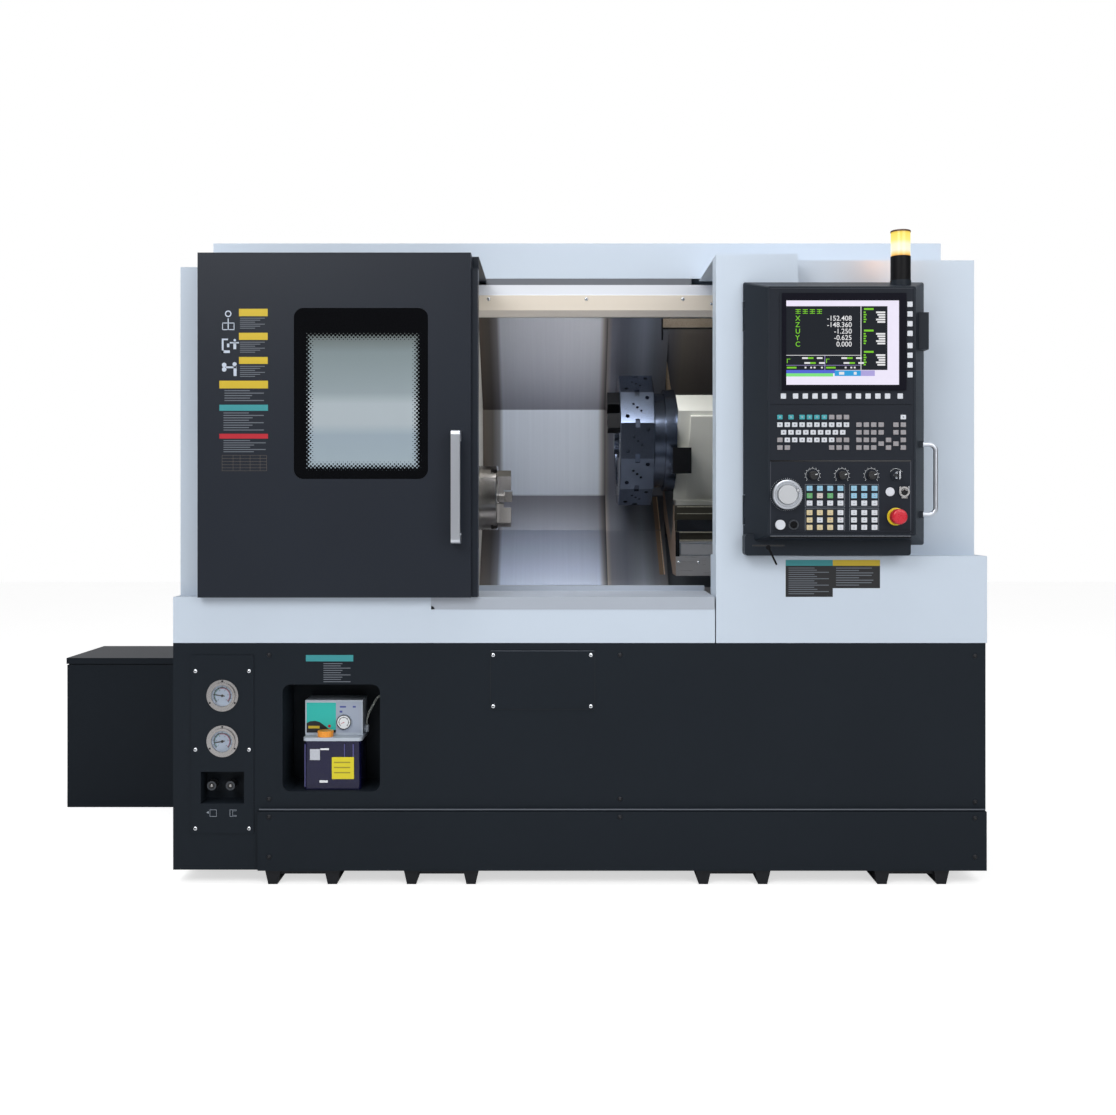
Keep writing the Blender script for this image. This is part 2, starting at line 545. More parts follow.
class Piece:
    """One mesh that is put together from simple shapes, each with its own material's name."""

    def __init__(self, name, body, slot):
        self.name = name
        self.body = body
        self.slot = slot
        self.mesh = bmesh.new()
        self.looks = []

    def add_face(self, verts, look, smooth=False):
        if look not in self.looks:
            self.looks.append(look)
        face = self.mesh.faces.new(verts)
        face.material_index = self.looks.index(look)
        face.smooth = smooth

    def face(self, points, look):
        self.add_face([self.mesh.verts.new(p) for p in points], look)

    def flat(self, outline, y, look):
        """A flat shape facing the front, its outline given as (x, z) points in either direction."""
        self.face([(x, y, z) for x, z in anticlockwise(outline)], look)

    def rect(self, x0, x1, z0, z1, y, look, radius=0.0):
        self.flat(rounded(x0, x1, z0, z1, radius), y, look)

    def outline(self, x0, x1, z0, z1, width, y, look):
        """A thin rectangle drawn with four bars."""
        self.rect(x0, x1, z1 - width, z1, y, look)
        self.rect(x0, x1, z0, z0 + width, y, look)
        self.rect(x0, x0 + width, z0 + width, z1 - width, y, look)
        self.rect(x1 - width, x1, z0 + width, z1 - width, y, look)

    def field(self, pixels, y, look, radius=0.0, layer=1):
        """A plain field given as photo pixels, lifted off a surface at y by layers of print."""
        self.rect(*photo_box(pixels, y), y - layer * PRINT, look, radius)

    def lines(self, pixels, rows, y, layer=1, share=0.38):
        """Rows of thin bars of uneven length, in the place of small print."""
        x0, x1, z0, z1 = photo_box(pixels, y)
        pitch = (z1 - z0) / rows
        for row in range(rows):
            length = (x1 - x0) * (0.78 + 0.22 * math.sin(row * 2.1 + x0 * 40))
            top = z1 - pitch * row
            self.rect(
                x0, x0 + length, top - pitch * share, top, y - layer * PRINT, "text_grey"
            )

    def signs(self, fields, bars, y, bar_layer=1):
        """Plain fields and rows of bars in the place of printed signs."""
        for pixels, look in fields:
            self.field(pixels, y, look)
        for pixels, rows in bars:
            self.lines(pixels, rows, y, bar_layer)

    def disc(self, x, z, radius, y, look, sides=32):
        self.flat(circle(x, z, radius, sides), y, look)

    def ring(self, x, z, inner, outer, y, look, start=0.0, end=360.0, steps=32):
        """A flat band of a circle between two angles, counted anticlockwise from the right."""
        for n in range(steps):
            a, b = (start + (end - start) * step / steps for step in (n, n + 1))
            corners = ((inner, a), (outer, a), (outer, b), (inner, b))
            self.flat([around(x, z, radius, angle) for radius, angle in corners], y, look)

    def tick(self, x, z, angle, inner, outer, half, y, look):
        """A straight mark that points away from a middle, from one radius to another."""
        c, s = math.cos(math.radians(angle)), math.sin(math.radians(angle))
        corners = ((inner, half), (outer, half), (outer, -half), (inner, -half))
        self.flat([(x + r * c - w * s, z + r * s + w * c) for r, w in corners], y, look)

    def wall(self, loops, look, smooth):
        """The faces between loops of points that follow each other towards the operator."""
        count = len(loops[0])
        for back, front in zip(loops, loops[1:]):
            for n in range(count):
                m = (n + 1) % count
                self.add_face((back[n], back[m], front[m], front[n]), look, smooth)

    def loop(self, points, y):
        return [self.mesh.verts.new((x, y, z)) for x, z in points]

    def raised(self, outline, y_back, y_front, look, bevel):
        """A shape that stands out towards the operator, with a bevelled front edge."""
        points = anticlockwise(outline)
        count = len(points)
        cx, cz = (sum(p[axis] for p in points) / count for axis in (0, 1))
        half_x = max(abs(p[0] - cx) for p in points)
        half_z = max(abs(p[1] - cz) for p in points)
        front = [
            (cx + (x - cx) * (1 - bevel / half_x), cz + (z - cz) * (1 - bevel / half_z))
            for x, z in points
        ]
        levels = ((points, y_back), (points, y_front + bevel), (front, y_front))
        loops = [self.loop(*level) for level in levels]
        self.wall(loops, look, count > 12)
        self.add_face(loops[-1], look)
        self.add_face(loops[0][::-1], look)

    def dome(self, x, z, radius, height, y, look, sides=24, rings=5):
        """A round screw head or button crown that stands out towards the operator."""
        loops = []
        for n in range(rings - 1):
            t = math.pi / 2 * n / (rings - 1)
            points = circle(x, z, radius * math.cos(t), sides)
            loops.append(self.loop(points, y - height * math.sin(t)))
        tip = self.mesh.verts.new((x, y - height, z))
        self.wall(loops, look, True)
        for n in range(sides):
            self.add_face((loops[-1][n], loops[-1][(n + 1) % sides], tip), look, True)
        self.add_face(loops[0][::-1], look)

    def screw(self, x, z, radius, height, y, look, hole=0.002):
        """A domed head with a dark six-sided hole in its crown."""
        self.dome(x, z, radius, height, y, look)
        self.disc(x, z, hole, y - height - 0.5 * PRINT, "print_black", 6)

    def box(self, low, high, look):
        """A plain block between two corners."""
        (x0, y0, z0), (x1, y1, z1) = low, high
        verts = [
            self.mesh.verts.new((x, y, z))
            for z in (z0, z1) for x, y in ((x0, y0), (x1, y0), (x1, y1), (x0, y1))
        ]
        for corners in (
            (0, 1, 5, 4), (1, 2, 6, 5), (2, 3, 7, 6), (3, 0, 4, 7), (4, 5, 6, 7), (3, 2, 1, 0)
        ):
            self.add_face([verts[c] for c in corners], look)

    def words(self, text, x, z, size, y, look, align="LEFT"):
        """Digits or a sign as flat shapes."""
        curve = bpy.data.curves.new(self.name + "_text", "FONT")
        curve.body = text
        curve.size = size
        curve.offset = size * 0.006
        curve.align_x = align
        holder = bpy.data.objects.new(self.name + "_text", curve)
        bpy.context.scene.collection.objects.link(holder)
        depsgraph = bpy.context.evaluated_depsgraph_get()
        letters = bpy.data.meshes.new_from_object(holder.evaluated_get(depsgraph))
        for polygon in letters.polygons:
            corners = [letters.vertices[v].co for v in polygon.vertices]
            self.flat([(x + c.x, z + c.y) for c in corners], y, look)
        bpy.data.objects.remove(holder)
        bpy.data.curves.remove(curve)
        bpy.data.meshes.remove(letters)

    def done(self, *replaced):
        mesh = bpy.data.meshes.new(self.name)
        self.mesh.to_mesh(mesh)
        self.mesh.free()
        for look in self.looks:
            mesh.materials.append(LOOKS[look])
        piece = bpy.data.objects.new(self.name, mesh)
        bpy.context.scene.collection.objects.link(piece)
        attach(piece, self.body)
        if replaced:
            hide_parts(*replaced)


# Surfaces that the pieces lie on, as places in depth
FACE_Y = -0.8505
PANEL_Y = FRONT_Y
KICK_Y = PANEL_Y - 0.010
COVER_Y = PANEL_Y - 0.002
GAUGE_Y = FRONT_Y - 0.0025
DOOR_Y = FRONT_Y - 0.030

# Screws and domes as radius and height
BASE_SCREW = (0.0065, 0.0035)
COVER_SCREW = (0.006, 0.003)
PLATE_SCREW = (0.0062, 0.004)
BEZEL_SCREW = (0.0028, 0.0014)
BEAM_SCREW = (0.0055, 0.0025)
BEAM_END_SCREW = (0.0045, 0.002)
SHEET_SCREW = (0.0052, 0.003)
KNOB_TIP = (0.0040, 0.0012)

# Rings as inner and outer radius
DIAL_RING = (0.0215, 0.0235)
DIAL_BAND = (0.0190, 0.0212)
BEZEL_RING = (0.0289, 0.0302)
BEZEL_EDGE = (0.0302, 0.0312)
LUBE_BEZEL = (0.0180, 0.0204)
LUBE_RING = (0.0125, 0.0140)
KNOB_RING = (0.0085, 0.0122)
FIGURE_RING = (0.0058, 0.0088)
SCALE_RING = (0.0175, 0.0181)
STOP_RING = (0.0122, 0.0232)
SOCKET_RING = (0.0098, 0.0134)
LOCK_RING = (0.0092, 0.0140)
KEY_LOOP = (0.0052, 0.0066)
WHEEL_RING = (0.0250, 0.0262)
WHEEL_LINE = (0.0320, 0.0326)
DIMPLE_RING = (0.0036, 0.0052)

# Straight marks as inner and outer radius and half of their width
DIAL_TICK = (0.0195, 0.0262, 0.0005)
LUBE_TICK = (0.011, 0.016, 0.0004)
POINTER = (0.003, 0.0095, 0.0008)

# Screws of the base panels, their places as photo pixels
KICK_TOP_PY = 810
SCREWS_PX = (
    (269, 655), (269, 799), (269, 817), (269, 857), (620, 655), (620, 799), (620, 817),
    (975, 656), (975, 802), (975, 818), (975, 857),
)
base_screws = Piece("base_screws", "machine", "black_steel")
for px, py in SCREWS_PX:
    y = KICK_Y if py > KICK_TOP_PY else PANEL_Y
    base_screws.screw(*at(px, py, y), *BASE_SCREW, y, "black_oxide", 0.0024)
base_screws.done()

COVER_SCREWS_PX = (493.2, 590.8)
COVER_SCREWS_PY = (655, 706.2)
cover_screws = Piece("cover_screws", "machine", "stainless")
for px in COVER_SCREWS_PX:
    for py in COVER_SCREWS_PY:
        cover_screws.screw(*at(px, py, PANEL_Y), *COVER_SCREW, COVER_Y, "polished_steel")
cover_screws.done()

# Lit edge of the kick panel, and the dark seam round the access cover
KICK_EDGE_PX = (258.9, 985.5, 808.8, 810.2)
RIM = 0.0011
cover_low, cover_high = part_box("access_cover")
edges = Piece("panel_edges", "machine", "grey_paint")
edges.field(KICK_EDGE_PX, KICK_Y, "edge_tone")
for seam in (
    (cover_low.x - RIM, cover_low.x, cover_low.z, cover_high.z),
    (cover_high.x, cover_high.x + RIM, cover_low.z, cover_high.z),
    (cover_low.x, cover_high.x, cover_low.z - RIM, cover_low.z),
):
    edges.rect(*seam, PANEL_Y - PRINT, "seam_tone")
edges.rect(
    cover_low.x + 0.001, cover_high.x - 0.001, cover_high.z - 0.0016, cover_high.z - 0.0004,
    cover_low.y - PRINT, "edge_tone",
)
edges.done()

# Printed strip over the niche
STRIP_PX = (305.9, 353.3, 655, 661.4)
STRIP_LINES_PX = (323.5, 350.5, 663.2, 683.5)
niche_strip = Piece("niche_strip", "machine", "grey_paint")
niche_strip.field(STRIP_PX, PANEL_Y, "print_teal")
niche_strip.lines(STRIP_LINES_PX, 9, PANEL_Y)
niche_strip.done()

# Pressure gauges: dial, coloured bands, ticks and figures from 0 to 10
GAUGE_X = -0.6577
GAUGES_Z = (0.5152, 0.3912)
DIAL_Y = GAUGE_Y - 0.0006
BEZEL_Y = GAUGE_Y - 0.0078
WINDOW_Y = GAUGE_Y - 0.0075
CASE_Y = GAUGE_Y - 0.003
DIAL_R, WINDOW_R = 0.0288, 0.0289
FIGURES_R, FIGURE_SIZE = 0.0158, 0.0048
BEZEL_SCREWS_R = 0.0392
PLATE_SCREWS_X = (-0.7315, -0.5857)
PLATE_SCREWS_Z = (0.5816, 0.368, 0.1538)
DIAL_START, DIAL_STEP = 225, 27
gauge_faces = Piece("gauge_faces", "machine", "white_key")
for gauge_z in GAUGES_Z:
    gauge_faces.disc(GAUGE_X, gauge_z, DIAL_R, DIAL_Y, "dial_blue", 48)
    for band, look, *angles in (
        (DIAL_RING, "print_black", -45, 225, 48), (DIAL_BAND, "print_mauve", -45, 110, 32),
        (DIAL_BAND, "print_pale_teal", 112, 225, 24),
    ):
        gauge_faces.ring(GAUGE_X, gauge_z, *band, DIAL_Y - PRINT, look, *angles)
    for band, look in ((BEZEL_RING, "print_grey"), (BEZEL_EDGE, "black_oxide")):
        gauge_faces.ring(GAUGE_X, gauge_z, *band, BEZEL_Y, look, steps=48)
    for n in range(11):
        gauge_faces.tick(
            GAUGE_X, gauge_z, DIAL_START - DIAL_STEP * n, *DIAL_TICK, DIAL_Y - 2 * PRINT,
            "print_black",
        )
    for n in range(0, 11, 2):
        x, z = around(GAUGE_X, gauge_z, FIGURES_R, DIAL_START - DIAL_STEP * n)
        z -= FIGURE_SIZE / 3
        gauge_faces.words(str(n), x, z, FIGURE_SIZE, DIAL_Y - PRINT, "print_black", "CENTER")
gauge_faces.done()

gauge_screws = Piece("gauge_plate_screws", "machine", "stainless")
for x in PLATE_SCREWS_X:
    for z in PLATE_SCREWS_Z:
        gauge_screws.screw(x, z, *PLATE_SCREW, GAUGE_Y, "polished_steel")
for gauge_z in GAUGES_Z:
    for angle in (90, 210, 330):
        place = around(GAUGE_X, gauge_z, BEZEL_SCREWS_R, angle)
        gauge_screws.dome(*place, *BEZEL_SCREW, CASE_Y, "black_oxide", 16)
gauge_screws.done()

gauge_windows = Piece("gauge_windows", "machine", "smoked_glass")
for gauge_z in GAUGES_Z:
    gauge_windows.disc(GAUGE_X, gauge_z, WINDOW_R, WINDOW_Y, "gauge_glass", 48)
gauge_windows.done()

# Front of the lubricator: a grey field, three small marks, a teal label with a dark hill, a gauge
LUBE_Y = -0.676
UNIT_PX = (335.9, 361.4, 701.4, 732.6)
MARKS_PX = (
    (339.8, 346.0, 706.0, 707.6), (352.8, 355.8, 706.0, 707.6), (339.6, 342.4, 710.6, 712.6),
)
LABEL_PX = (306.6, 335.9, 702.6, 732.6)
HILL_PY = (
    (0.0, 723.0), (0.12, 721.3), (0.3, 720.8), (0.45, 722.0), (0.6, 725.2), (0.75, 728.8),
    (0.9, 730.4), (1.0, 729.6),
)
LABEL_BAR_PX = (308.4, 319.6, 725.8, 728.4)
LABEL_LAMP_PX = (329.4, 726.0)
lube_print = Piece("lubricator_front", "machine", "light_plastic")
lube_print.field(UNIT_PX, LUBE_Y, "unit_front", 0.001, 0.5)
for mark_px in MARKS_PX:
    lube_print.field(mark_px, LUBE_Y, "print_navy")
lube_print.field(LABEL_PX, LUBE_Y, "panel_teal", 0.002)
label_left, label_right, label_low, _ = photo_box(LABEL_PX, LUBE_Y)
hill = [
    (label_left + share * (label_right - label_left), at(CENTRE_PX, py, LUBE_Y)[1])
    for share, py in reversed(HILL_PY)
]
for near, far in zip(hill, hill[1:]):
    slice_of_hill = [(near[0], label_low), near, far, (far[0], label_low)]
    lube_print.flat(slice_of_hill, LUBE_Y - 2 * PRINT, "print_black")
lube_print.field(LABEL_BAR_PX, LUBE_Y, "print_yellow", 0.001, 3)
lube_print.disc(*at(*LABEL_LAMP_PX, LUBE_Y), 0.0042, LUBE_Y - 3 * PRINT, "print_red", 20)

LUBE_GAUGE = (-0.3388, 0.432)
LUBE_DIAL_Y = LUBE_Y - 0.0072
LUBE_STEP = 45
lube_print.disc(*LUBE_GAUGE, LUBE_BEZEL[0], LUBE_DIAL_Y, "print_white")
lube_print.ring(*LUBE_GAUGE, *LUBE_BEZEL, LUBE_DIAL_Y - 0.5 * PRINT, "black_oxide")
lube_print.ring(*LUBE_GAUGE, *LUBE_RING, LUBE_DIAL_Y - PRINT, "print_black", -45, 225, 24)
for n in range(7):
    angle = DIAL_START - LUBE_STEP * n
    lube_print.tick(*LUBE_GAUGE, angle, *LUBE_TICK, LUBE_DIAL_Y - 2 * PRINT, "print_black")
gauge_x, gauge_z = LUBE_GAUGE
hand = [
    (gauge_x - 0.011, gauge_z - 0.006), (gauge_x + 0.002, gauge_z - 0.001),
    (gauge_x + 0.001, gauge_z + 0.001),
]
lube_print.flat(hand, LUBE_DIAL_Y - 3 * PRINT, "print_red")
lube_print.done()

# Labels on the tank, and the gleams along its edges
TANK_Y = -0.7215
TANK_LABEL_PX = (331.9, 354, 757, 779)
TANK_PRINTS_PX = (
    ((310, 320, 749, 760), "square_grey", 0.001),
    ((320.4, 329.0, 748.2, 750.0), "print_white", 0.0005),
    ((319.6, 328.0, 780.2, 782.6), "print_white", 0.0005),
    ((304.6, 305.6, 744, 787), "tank_gleam", 0.0),
    ((352.6, 354.2, 744, 757), "tank_gleam", 0.0),
    ((344.0, 345.2, 744, 757), "tank_gleam", 0.0),
)
LABEL_LAYERS = 6
tank_labels = Piece("tank_labels", "machine", "white_key")
tank_labels.field(TANK_LABEL_PX, TANK_Y, "print_lemon", 0.0015, LABEL_LAYERS)
x0, x1, z0, _ = photo_box(TANK_LABEL_PX, TANK_Y)
for n in range(3):
    low = z0 + 0.016 + 0.014 * n
    bar_y = TANK_Y - (LABEL_LAYERS + 1) * PRINT
    tank_labels.rect(x0 + 0.006, x1 - 0.010, low, low + 0.0035, bar_y, "lemon_dim")
for pixels, look, radius in TANK_PRINTS_PX:
    tank_labels.field(pixels, TANK_Y, look, radius, LABEL_LAYERS)
tank_labels.done()

# Small drawn signs under the two knobs: outlined boxes and an arrow head
KNOB_FRAMES_PX = (
    ((209.8, 216.6, 809.6, 816.6), 0.0010), ((229.8, 232.9, 809.6, 816.6), 0.0010),
    ((232.5, 236.4, 809.6, 811.0), 0.0008), ((232.5, 236.4, 815.2, 816.6), 0.0008),
)
ARROW_PX = (206.4, 812.4)
knob_signs = Piece("knob_marks", "machine", "white_key")
for pixels, width in KNOB_FRAMES_PX:
    knob_signs.outline(*photo_box(pixels, GAUGE_Y), width, GAUGE_Y - PRINT, "text_light")
x, z = at(*ARROW_PX, GAUGE_Y)
arrow = [(x, z), (x + 0.0062, z - 0.0036), (x + 0.0062, z + 0.0036)]
knob_signs.flat(arrow, GAUGE_Y - PRINT, "text_light")
knob_signs.done()

# Bright ends of the two knobs
for body in ("chuck_knob", "coolant_knob"):
    low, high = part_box(body.replace("_", "_pressure_"))
    x, z = (low.x + high.x) / 2, (low.z + high.z) / 2
    knob_end = Piece(body + "_end", body, "stainless")
    knob_end.ring(x, z, *KNOB_RING, low.y - PRINT, "knob_ring")
    knob_end.dome(x, z, *KNOB_TIP, low.y - PRINT, "bezel_steel")
    knob_end.done()

# Door: plain colour fields, bars and figures where the printed signs are
FIELDS_PX = (
    ((239, 267.7, 308.8, 316.2), "print_yellow"), ((239, 267.7, 332.8, 339.9), "print_yellow"),
    ((239, 267.7, 357, 363.9), "print_yellow"), ((219.4, 268, 380.7, 388.4), "print_yellow"),
    ((219.4, 268, 404.7, 410.8), "print_teal"), ((219.4, 268, 433.8, 438.6), "print_red"),
)
BARS_PX = (
    ((240, 265.7, 317.8, 329.8), 6), ((240, 265.7, 341.8, 353.8), 6), ((240, 265.7, 366, 378), 6),
    ((224.5, 264, 390.2, 402.5), 5), ((223.5, 264, 412.5, 432.0), 8),
    ((223.5, 266, 440.2, 453.5), 6),
)
TABLE_PX = (222, 233, 240, 250, 260, 266.5)
TABLE_PY = (455.5, 458.6, 461.7, 464.8, 467.9, 470.9)
TABLE_LINE = 0.0006
# A ring on an open box, two blocks, two ovals on a bar
FIGURE_RING_PX = (228.2, 313.8)
FIGURES_PX = (
    (222.2, 227.4, 322.6, 323.4), (229.2, 234.4, 322.6, 323.4), (222.2, 222.9, 322.6, 329.8),
    (233.7, 234.4, 322.6, 329.8), (222.2, 234.4, 329.2, 330.0), (227.7, 228.7, 318.4, 330),
    (221.8, 223.6, 338.6, 353.0), (221.8, 229.8, 350.4, 353.0), (223.6, 228.0, 338.6, 340.2),
    (227.0, 229.4, 343.6, 347.2), (233.4, 236.2, 342.4, 349.2), (229.8, 239.0, 342.0, 343.4),
    (226.0, 236.4, 366.4, 368.2), (233.6, 236.6, 366.4, 376.0),
)
FIGURE_DISCS_PX = (
    ((234.8, 340.2), 0.0034), ((224.2, 365.0), 0.0062), ((224.2, 369.4), 0.0062),
    ((234.6, 364.2), 0.0056),
)
door_prints = Piece("door_fields", "door", "white_key")
door_prints.signs(FIELDS_PX, BARS_PX, DOOR_Y)
for px in TABLE_PX:
    x, _, low, high = photo_box((px, px, TABLE_PY[0], TABLE_PY[-1]), DOOR_Y)
    door_prints.rect(x, x + TABLE_LINE, low, high, DOOR_Y - PRINT, "table_brown")
for py in TABLE_PY:
    left, right, z, _ = photo_box((TABLE_PX[0], TABLE_PX[-1], py, py), DOOR_Y)
    door_prints.rect(left, right, z, z + TABLE_LINE, DOOR_Y - 2 * PRINT, "table_brown")
ring_place = at(*FIGURE_RING_PX, DOOR_Y)
door_prints.ring(*ring_place, *FIGURE_RING, DOOR_Y - PRINT, "figure_white", steps=24)
for pixels in FIGURES_PX:
    door_prints.field(pixels, DOOR_Y, "figure_white")
for place, radius in FIGURE_DISCS_PX:
    door_prints.disc(*at(*place, DOOR_Y), radius, DOOR_Y - 2 * PRINT, "figure_white", 20)
door_prints.done()

# Printed fields on the column, under the control panel
COLUMN_Y = FRONT_Y - 0.001
COLUMN_FIELDS_PX = (
    ((785.6, 832.8, 559.9, 565.8), "print_teal"), ((832.8, 880, 559.9, 565.8), "print_yellow"),
    ((785.6, 832.8, 565.8, 596.9), "print_black"), ((832.8, 880, 565.8, 588.2), "print_black"),
)
COLUMN_BARS_PX = (((788.5, 829, 567.6, 595.4), 13), ((836, 877, 567.6, 587.0), 8))
column_prints = Piece("column_fields", "machine", "white_key")
column_prints.signs(COLUMN_FIELDS_PX, COLUMN_BARS_PX, COLUMN_Y, bar_layer=2)
column_prints.done()

# Screen: laid out in shares of its width and height, from its top left corner
screen_low, screen_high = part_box("pendant_screen")
SCREEN_Y = screen_low.y
SCREEN_W = screen_high.x - screen_low.x
SCREEN_H = screen_high.z - screen_low.z
LAYER = 0.0001
TEXT_SIZE = 0.0185
# Each field is left, top, right, bottom, its look and its layer
SCREEN_FIELDS = (
    (0, 0, 1, 1, "screen_white", 1), (0, 0.067, 0.898, 0.823, "screen_dark", 2),
    (0, 0.823, 0.438, 0.862, "screen_blue", 2), (0, 0.862, 0.417, 0.900, "screen_lime", 2),
    (0.430, 0.828, 0.662, 0.894, "screen_cyan", 3),
    (0.662, 0.828, 0.786, 0.894, "screen_lavender", 3),
    (0.470, 0.845, 0.515, 0.878, "screen_text", 4), (0.600, 0.845, 0.625, 0.878, "screen_text", 4),
    (0.6605, 0.067, 0.6665, 0.823, "screen_text", 3), (0, 0.646, 0.664, 0.652, "screen_text", 3),
    (0, 0.765, 0.664, 0.769, "screen_lavender", 3),
    (0.342, 0.650, 0.346, 0.823, "screen_lavender", 3),
)
AXES = (("X", "-152.408"), ("Z", "-148.360"), ("U", "-1.250"), ("Y", "-0.625"), ("C", "0.000"))
screen = Piece("screen_picture", "pendant", "screen")


def on_screen(left, top, right, bottom, look, layer=3):
    screen.rect(
        screen_low.x + left * SCREEN_W, screen_low.x + right * SCREEN_W,
        screen_high.z - bottom * SCREEN_H, screen_high.z - top * SCREEN_H,
        SCREEN_Y - layer * LAYER, look,
    )


for field in SCREEN_FIELDS:
    on_screen(*field)
for left in (0.085, 0.148, 0.211, 0.274):
    on_screen(left, 0.104, left + 0.045, 0.112, "screen_green")
    on_screen(left + 0.018, 0.104, left + 0.024, 0.156, "screen_green")
    on_screen(left, 0.126, left + 0.045, 0.133, "screen_green")
    on_screen(left, 0.149, left + 0.045, 0.156, "screen_green")
text_y = SCREEN_Y - 3 * LAYER
for row, (letter, value) in enumerate(AXES):
    z = screen_high.z - (0.238 + 0.0766 * row) * SCREEN_H
    letter_x, value_x = (screen_low.x + share * SCREEN_W for share in (0.083, 0.583))
    screen.words(letter, letter_x, z, TEXT_SIZE, text_y, "screen_green")
    screen.words(value, value_x, z, TEXT_SIZE, text_y, "screen_text", "RIGHT")
for block_top in (0.090, 0.345, 0.597):
    on_screen(0.69, block_top, 0.775, block_top + 0.022, "screen_green")
    for row in range(5):
        top = block_top + 0.040 + row * 0.0285
        on_screen(0.687, top, 0.712 if row % 2 else 0.705, top + 0.017, "screen_green")
        on_screen(0.797 + 0.012 * (row % 3), top, 0.878, top + 0.020, "screen_text")
for left in (0.008, 0.355):
    on_screen(left, 0.690, left + 0.03, 0.697, "screen_green")
    on_screen(left, 0.690, left + 0.007, 0.740, "screen_green")
    for top, start in ((0.672, 0.135), (0.730, 0.155)):
        for shift, look in ((0.0, "screen_text"), (0.05, "screen_green"), (0.13, "screen_text")):
            bar_left = left + start + shift
            on_screen(bar_left, top, bar_left + 0.05, top + 0.02, look)
    on_screen(left, 0.785, left + 0.085, 0.805, "screen_green")
for left in (0.165, 0.215, 0.245, 0.31, 0.52, 0.57, 0.60):
    on_screen(left, 0.785, left + 0.016, 0.803, "screen_text")
screen.done()

# The small red and white tag at the lower right corner of the screen
TAG_Y = FACE_Y - 0.002
TAG_PX = (893.9, 905.4, 385.2, 389.0)
tag = Piece("screen_tag", "pendant", "white_key")
x0, x1, z0, z1 = photo_box(TAG_PX, TAG_Y)
tag_split = x0 + (x1 - x0) * 0.75
tag.rect(x0, tag_split, z0, z1, TAG_Y - PRINT, "print_red")
tag.rect(tag_split, x1, z0, z1, TAG_Y - PRINT, "print_white")
tag.done()

# Keys, drawn again with bevelled caps in their own colours
KEY_H = 0.003
KEY_BEVEL = 0.0006
SOFT = 0.014
SOFT_PITCH = 0.0256
RIGHT_KEY_X = 1.1802
BOTTOM_KEY_Z = 1.3201
KEY_W, KEY_TALL = 0.014, 0.012
LETTERS_X, NUMBERS_X, KEY_TOP_Z = 0.838, 1.0459, 1.2648
KEY_PITCH = 0.01945
ROW_PITCH = KEY_PITCH * 1.03
T, G, W = "teal_plastic", "grey_plastic", "white_plastic"
LETTER_ROWS = (
    ((0, T), (1.5, T), (3, T), (4, T), (5, T), (6, T), (7, G), (8, G), (9, G)),
    tuple((n, W) for n in range(10)),
    tuple((n + 0.5, W) for n in range(9)),
    ((0, G),) + tuple((n, W) for n in range(1, 8)) + ((8, G), (9, G)),
    ((0, G), (1, G), (7, G), (8, G), (9, G)),
)
NUMBER_ROWS = (
    ((6, W),),
    ((0, G), (1, G), (2, G), (3, G), (5, G), (6, G)),
    ((0, G), (1, G), (2, G), (3, G), (5, G), (6, G)),
    ((0, G), (1, G), (2, G), (4, G), (6, G)),
    ((0, G), (1, G), (2, G), (4, G), (6, G)),
)
keys = Piece("key_caps", "pendant", "white_key")


def cap(piece, x, z, width, height, look):
    shape = rounded(x - width / 2, x + width / 2, z - height / 2, z + height / 2, 0.001, 2)
    piece.raised(shape, FACE_Y, FACE_Y - KEY_H, look, bevel=KEY_BEVEL)


def marked_key(x, z, look):
    cap(keys, x, z, KEY_W, KEY_TALL, look)
    keys.rect(
        x - KEY_W * 0.14, x + KEY_W * 0.14, z - KEY_TALL * 0.18, z + KEY_TALL * 0.2,
        FACE_Y - KEY_H - 0.5 * PRINT, "print_grey" if look == T else "key_mark",
    )


for first_z in (1.5617, 1.4530):
    for n in range(4):
        cap(keys, RIGHT_KEY_X, first_z - SOFT_PITCH * n, SOFT, SOFT, W)
for first_x, count in ((0.8472, 1), (0.8791, 5), (1.0188, 5), (1.1545, 1)):
    for n in range(count):
        cap(keys, first_x + SOFT_PITCH * n, BOTTOM_KEY_Z, SOFT, SOFT, W)
for start, rows in ((LETTERS_X, LETTER_ROWS), (NUMBERS_X, NUMBER_ROWS)):
    for row, columns in enumerate(rows):
        for column, look in columns:
            marked_key(start + KEY_PITCH * column, KEY_TOP_Z - ROW_PITCH * row, look)
for column in (3, 5):
    marked_key(NUMBERS_X + KEY_PITCH * column, KEY_TOP_Z - KEY_PITCH * 3.6, G)
keys.done("keys")

